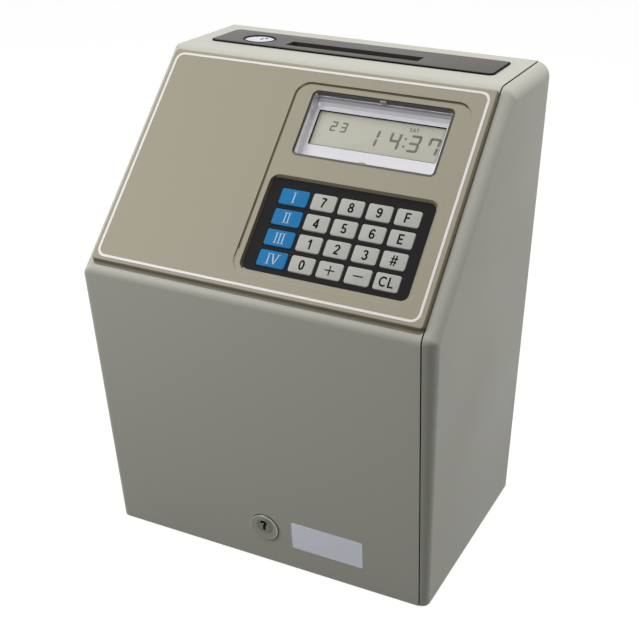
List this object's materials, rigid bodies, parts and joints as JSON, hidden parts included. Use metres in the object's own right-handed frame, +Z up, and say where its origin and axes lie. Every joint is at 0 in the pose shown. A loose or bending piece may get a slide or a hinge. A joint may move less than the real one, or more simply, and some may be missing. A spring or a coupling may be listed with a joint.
{
  "type": "time clock",
  "caption": "Desk or wall time clock: sloping keypad panel with display, top card slot, key locks, and a hinged cover over a card printer.",
  "frame": {"origin": "on the floor under the middle of the bounding box", "axes": "+Z up, front faces -Y, +X to the right as seen from the front"},
  "size_m": [0.222, 0.1855, 0.3083],
  "materials": {
    "cover_grey": "fine grain",
    "panel_tan": "satin print",
    "window_clear": "clear",
    "bezel_silver": "satin silver",
    "lcd_grey": "satin",
    "plate_black": "matt",
    "key_white": "fine grain",
    "key_blue": "fine grain",
    "insert_grey": "fine grain",
    "lock_bright": "bright",
    "lock_dull": "brushed",
    "board_green": "solder mask",
    "sheet_steel": "zinc plated",
    "turned_steel": "ground",
    "motor_dark": "satin",
    "gear_cream": "moulded",
    "mech_black": "moulded",
    "knob_blue": "moulded",
    "rubber_black": "matt"
  },
  "bodies": {
    "chassis": {"base_pan": "sheet_steel", "back_plate": "sheet_steel", "feet": "rubber_black", "mech_frame": "sheet_steel", "guide_front": "sheet_steel", "guide_rear": "sheet_steel", "platen": "rubber_black", "guide_shafts": "turned_steel", "carriage_belt": "rubber_black", "carriage_motor": "motor_dark", "feed_motor": "motor_dark", "ribbon_cassette": "plate_black", "main_board": "board_green", "transformer": "motor_dark", "cord_gland": "plate_black", "chassis_screws": "turned_steel"},
    "hood": {"main_cover": "cover_grey", "right_cover": "cover_grey", "hood_screws": "turned_steel", "front_panel": "panel_tan", "display_window": "window_clear", "display_bezel": "bezel_silver", "display_glass": "lcd_grey", "key_plate": "plate_black", "front_board": "board_green", "top_insert": "insert_grey", "switch_housing": "plate_black", "lock_housing": "lock_bright", "lock_nuts": "lock_dull"},
    "lock_body": {"lock_plug": "lock_dull", "lock_cam": "lock_dull"},
    "switch_body": {"switch_rotor": "lock_bright"},
    "carriage_body": {"carriage": "mech_black", "print_head": "motor_dark"},
    "drive_body": {"drive_pulley": "gear_cream"},
    "idle_body": {"idle_pulley": "gear_cream"},
    "knob_body": {"ribbon_knob": "knob_blue"},
    "feed_body": {"feed_shaft": "rubber_black"},
    "pinch_body": {"pinch_rollers": "rubber_black"},
    "pinion_body": {"feed_pinion": "gear_cream"},
    "key_i_cap": {"key_i": "key_blue"},
    "key_ii_cap": {"key_ii": "key_blue"},
    "key_iii_cap": {"key_iii": "key_blue"},
    "key_iv_cap": {"key_iv": "key_blue"},
    "key_7_cap": {"key_7": "key_white"},
    "key_8_cap": {"key_8": "key_white"},
    "key_9_cap": {"key_9": "key_white"},
    "key_f_cap": {"key_f": "key_white"},
    "key_4_cap": {"key_4": "key_white"},
    "key_5_cap": {"key_5": "key_white"},
    "key_6_cap": {"key_6": "key_white"},
    "key_e_cap": {"key_e": "key_white"},
    "key_1_cap": {"key_1": "key_white"},
    "key_2_cap": {"key_2": "key_white"},
    "key_3_cap": {"key_3": "key_white"},
    "key_hash_cap": {"key_hash": "key_white"},
    "key_0_cap": {"key_0": "key_white"},
    "key_plus_cap": {"key_plus": "key_white"},
    "key_minus_cap": {"key_minus": "key_white"},
    "key_cl_cap": {"key_cl": "key_white"}
  },
  "joints": [
    {"name": "hood_hinge", "type": "hinge", "parent": "chassis", "child": "hood", "pos_m": [0, 0.08378, 0.29978], "axis": [-1, 0, 0], "range_deg": [0, 60]},
    {"name": "key_i_press", "type": "slide", "parent": "hood", "child": "key_i_cap", "axis": [0, 0.7169, -0.6972], "range_m": [0, 0.001], "stiffness_N_per_m": 100, "springref_m": -0.003},
    {"name": "key_ii_press", "type": "slide", "parent": "hood", "child": "key_ii_cap", "axis": [0, 0.7169, -0.6972], "range_m": [0, 0.001], "stiffness_N_per_m": 100, "springref_m": -0.003},
    {"name": "key_iii_press", "type": "slide", "parent": "hood", "child": "key_iii_cap", "axis": [0, 0.7169, -0.6972], "range_m": [0, 0.001], "stiffness_N_per_m": 100, "springref_m": -0.003},
    {"name": "key_iv_press", "type": "slide", "parent": "hood", "child": "key_iv_cap", "axis": [0, 0.7169, -0.6972], "range_m": [0, 0.001], "stiffness_N_per_m": 100, "springref_m": -0.003},
    {"name": "key_7_press", "type": "slide", "parent": "hood", "child": "key_7_cap", "axis": [0, 0.7169, -0.6972], "range_m": [0, 0.001], "stiffness_N_per_m": 100, "springref_m": -0.003},
    {"name": "key_8_press", "type": "slide", "parent": "hood", "child": "key_8_cap", "axis": [0, 0.7169, -0.6972], "range_m": [0, 0.001], "stiffness_N_per_m": 100, "springref_m": -0.003},
    {"name": "key_9_press", "type": "slide", "parent": "hood", "child": "key_9_cap", "axis": [0, 0.7169, -0.6972], "range_m": [0, 0.001], "stiffness_N_per_m": 100, "springref_m": -0.003},
    {"name": "key_f_press", "type": "slide", "parent": "hood", "child": "key_f_cap", "axis": [0, 0.7169, -0.6972], "range_m": [0, 0.001], "stiffness_N_per_m": 100, "springref_m": -0.003},
    {"name": "key_4_press", "type": "slide", "parent": "hood", "child": "key_4_cap", "axis": [0, 0.7169, -0.6972], "range_m": [0, 0.001], "stiffness_N_per_m": 100, "springref_m": -0.003},
    {"name": "key_5_press", "type": "slide", "parent": "hood", "child": "key_5_cap", "axis": [0, 0.7169, -0.6972], "range_m": [0, 0.001], "stiffness_N_per_m": 100, "springref_m": -0.003},
    {"name": "key_6_press", "type": "slide", "parent": "hood", "child": "key_6_cap", "axis": [0, 0.7169, -0.6972], "range_m": [0, 0.001], "stiffness_N_per_m": 100, "springref_m": -0.003},
    {"name": "key_e_press", "type": "slide", "parent": "hood", "child": "key_e_cap", "axis": [0, 0.7169, -0.6972], "range_m": [0, 0.001], "stiffness_N_per_m": 100, "springref_m": -0.003},
    {"name": "key_1_press", "type": "slide", "parent": "hood", "child": "key_1_cap", "axis": [0, 0.7169, -0.6972], "range_m": [0, 0.001], "stiffness_N_per_m": 100, "springref_m": -0.003},
    {"name": "key_2_press", "type": "slide", "parent": "hood", "child": "key_2_cap", "axis": [0, 0.7169, -0.6972], "range_m": [0, 0.001], "stiffness_N_per_m": 100, "springref_m": -0.003},
    {"name": "key_3_press", "type": "slide", "parent": "hood", "child": "key_3_cap", "axis": [0, 0.7169, -0.6972], "range_m": [0, 0.001], "stiffness_N_per_m": 100, "springref_m": -0.003},
    {"name": "key_hash_press", "type": "slide", "parent": "hood", "child": "key_hash_cap", "axis": [0, 0.7169, -0.6972], "range_m": [0, 0.001], "stiffness_N_per_m": 100, "springref_m": -0.003},
    {"name": "key_0_press", "type": "slide", "parent": "hood", "child": "key_0_cap", "axis": [0, 0.7169, -0.6972], "range_m": [0, 0.001], "stiffness_N_per_m": 100, "springref_m": -0.003},
    {"name": "key_plus_press", "type": "slide", "parent": "hood", "child": "key_plus_cap", "axis": [0, 0.7169, -0.6972], "range_m": [0, 0.001], "stiffness_N_per_m": 100, "springref_m": -0.003},
    {"name": "key_minus_press", "type": "slide", "parent": "hood", "child": "key_minus_cap", "axis": [0, 0.7169, -0.6972], "range_m": [0, 0.001], "stiffness_N_per_m": 100, "springref_m": -0.003},
    {"name": "key_cl_press", "type": "slide", "parent": "hood", "child": "key_cl_cap", "axis": [0, 0.7169, -0.6972], "range_m": [0, 0.001], "stiffness_N_per_m": 100, "springref_m": -0.003},
    {"name": "lock_turn", "type": "hinge", "parent": "hood", "child": "lock_body", "pos_m": [0, -0.0693, 0.03021], "axis": [0, 0.9897, 0.1429], "range_deg": [0, 90]},
    {"name": "switch_turn", "type": "hinge", "parent": "hood", "child": "switch_body", "pos_m": [-0.068, 0.05128, 0.30698], "axis": [0, 0, 1], "range_deg": [0, 90]},
    {"name": "carriage_slide", "type": "slide", "parent": "chassis", "child": "carriage_body", "axis": [1, 0, 0], "range_m": [-0.035, 0.035]},
    {"name": "drive_spin", "type": "hinge", "parent": "chassis", "child": "drive_body", "pos_m": [0.0485, 0.02127, 0.14], "axis": [0, 0, 1], "range_deg": [-302, 302]},
    {"name": "idle_spin", "type": "hinge", "parent": "chassis", "child": "idle_body", "pos_m": [-0.0515, 0.02127, 0.14], "axis": [0, 0, 1], "range_deg": [-302, 302]},
    {"name": "knob_spin", "type": "hinge", "parent": "chassis", "child": "knob_body", "pos_m": [-0.0365, 0.01128, 0.218], "axis": [0, 0, 1], "range_deg": [-122, 122]},
    {"name": "feed_spin", "type": "hinge", "parent": "chassis", "child": "feed_body", "pos_m": [-0.0015, 0.06048, 0.125], "axis": [1, 0, 0], "continuous": true},
    {"name": "pinch_spin", "type": "hinge", "parent": "chassis", "child": "pinch_body", "pos_m": [-0.0015, 0.04507, 0.125], "axis": [1, 0, 0], "continuous": true},
    {"name": "pinion_spin", "type": "hinge", "parent": "chassis", "child": "pinion_body", "pos_m": [-0.0795, 0.07178, 0.09506], "axis": [1, 0, 0], "continuous": true}
  ],
  "couplings": [
    {"joint": "drive_spin", "follows": "carriage_slide", "rad_per_m": 149.7},
    {"joint": "idle_spin", "follows": "carriage_slide", "rad_per_m": 149.7},
    {"joint": "knob_spin", "follows": "carriage_slide", "rad_per_m": 60},
    {"joint": "pinch_spin", "follows": "feed_spin", "ratio": -1.5},
    {"joint": "pinion_spin", "follows": "feed_spin", "ratio": -3}
  ]
}
